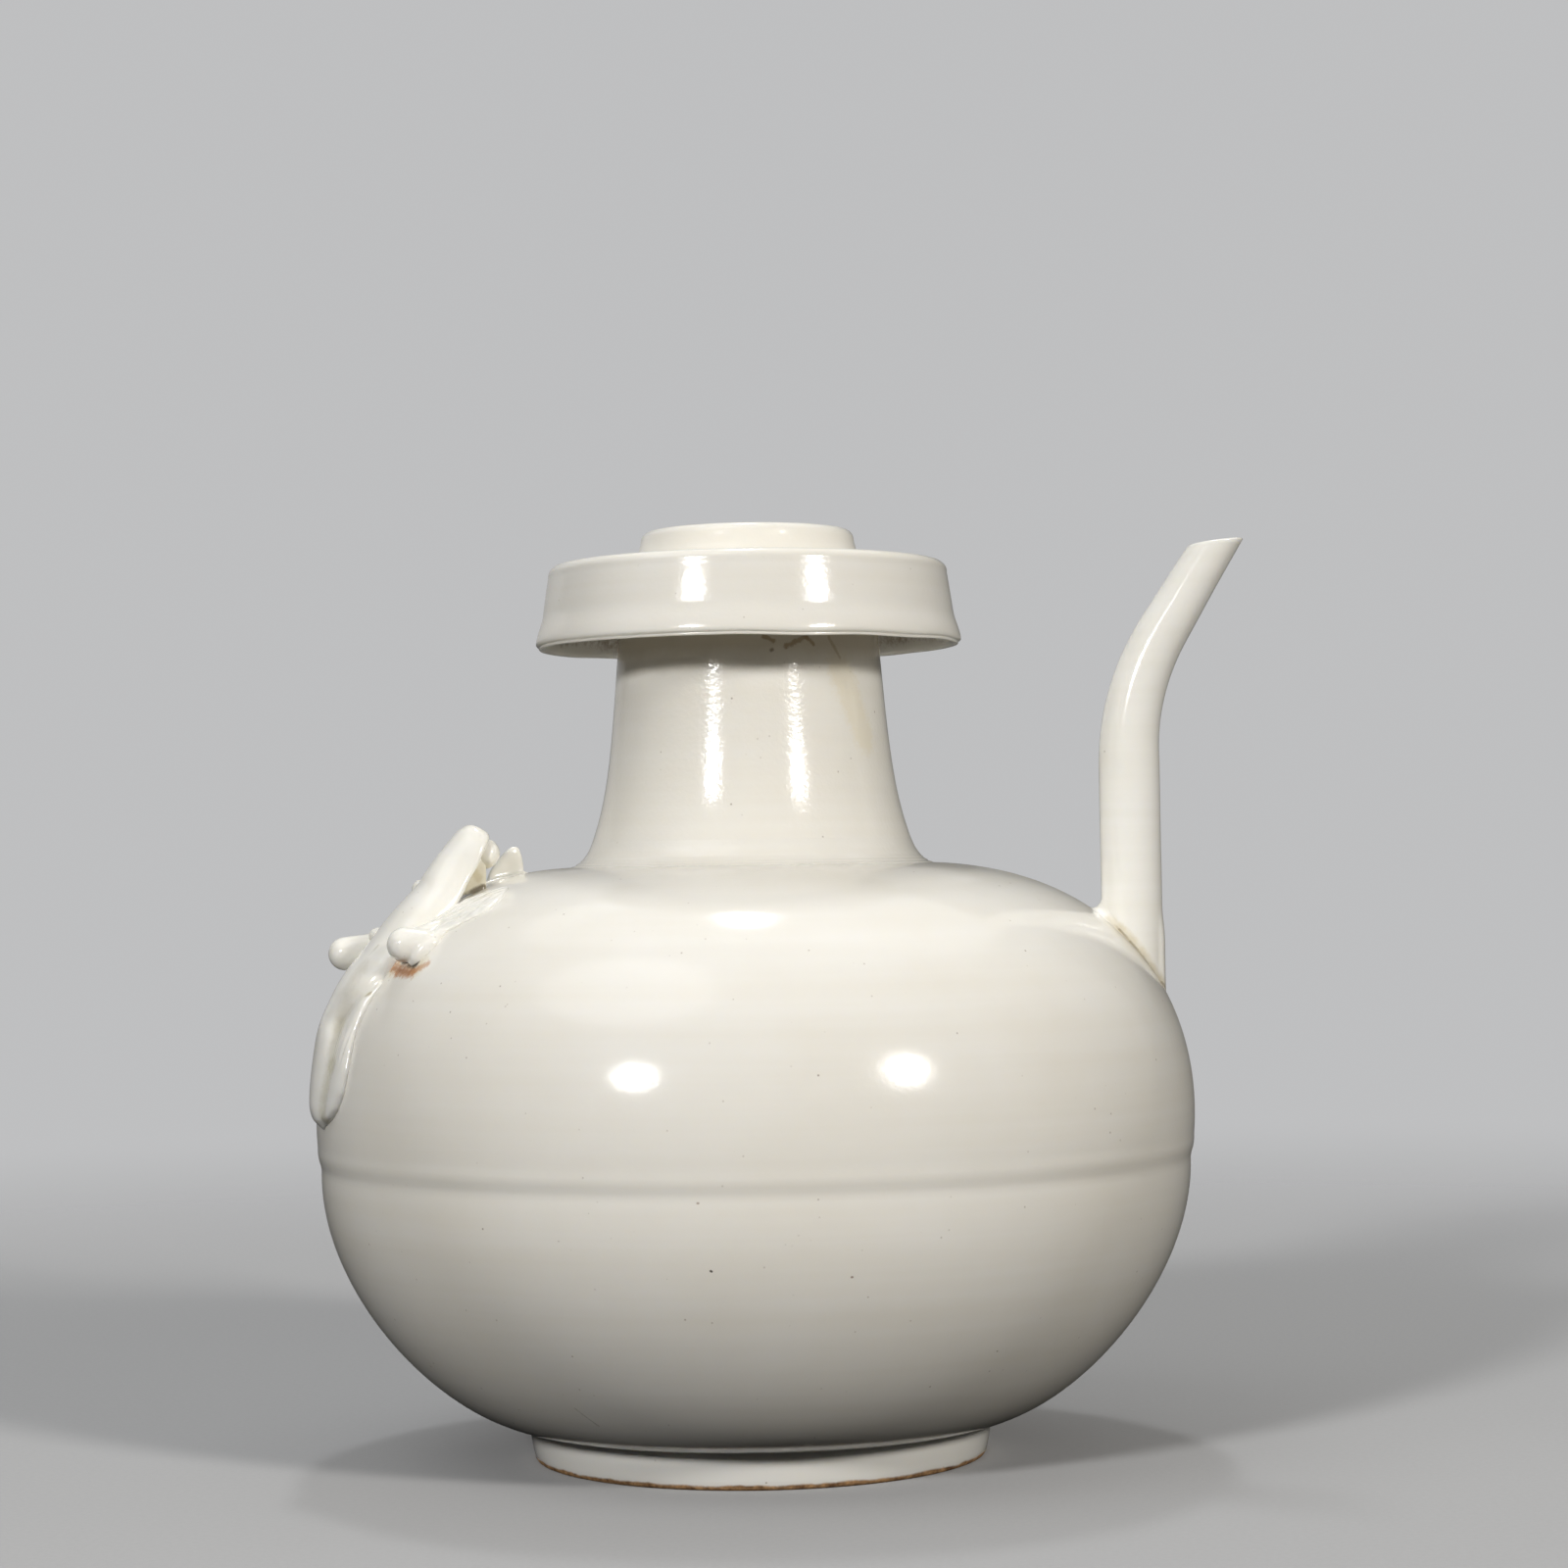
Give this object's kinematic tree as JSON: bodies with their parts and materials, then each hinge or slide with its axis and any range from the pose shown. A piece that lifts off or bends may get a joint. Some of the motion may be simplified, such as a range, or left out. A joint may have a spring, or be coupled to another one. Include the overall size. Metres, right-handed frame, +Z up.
{
  "type": "kundika",
  "caption": "Squat glazed porcelain ewer with a flanged mouth and low collar, a slender bent shoulder spout, a knotted strap loop and a low foot ring.",
  "frame": {"origin": "middle of the overall outline, at the level on which the foot stands; the vessel axis is 5.9 mm from it towards -X because the spout reaches out", "axes": "+X towards the spout, +Z up along the vessel axis, +Y to the left of the spout seen from above, so that -Y faces the camera side of the picture"},
  "size_m": [0.1896, 0.1776, 0.1873],
  "materials": {
    "body_glaze": "glossy transparent glaze with a warm white tone over a white porcelain body",
    "applied_glaze": "glossy glaze pooled slightly thicker and more ivory over the applied pieces",
    "foot_clay": "glazed wall with a bare, toasted brown edge where the foot stood in the kiln"
  },
  "bodies": {
    "root": {"foot_ring": "foot_clay", "body_bowl": "body_glaze", "body_dome": "body_glaze", "belly_luting_band": "body_glaze", "neck": "body_glaze", "neck_base_ring": "body_glaze", "mouth_flange": "body_glaze", "mouth_collar": "body_glaze", "spout": "applied_glaze", "spout_root_clay": "applied_glaze", "loop_strap": "applied_glaze", "tail_leaf": "applied_glaze", "side_leaf_near": "applied_glaze", "side_leaf_far": "applied_glaze", "pellet_low": "applied_glaze", "pellet_high": "applied_glaze", "pellet_fold": "applied_glaze"}
  },
  "joints": []
}
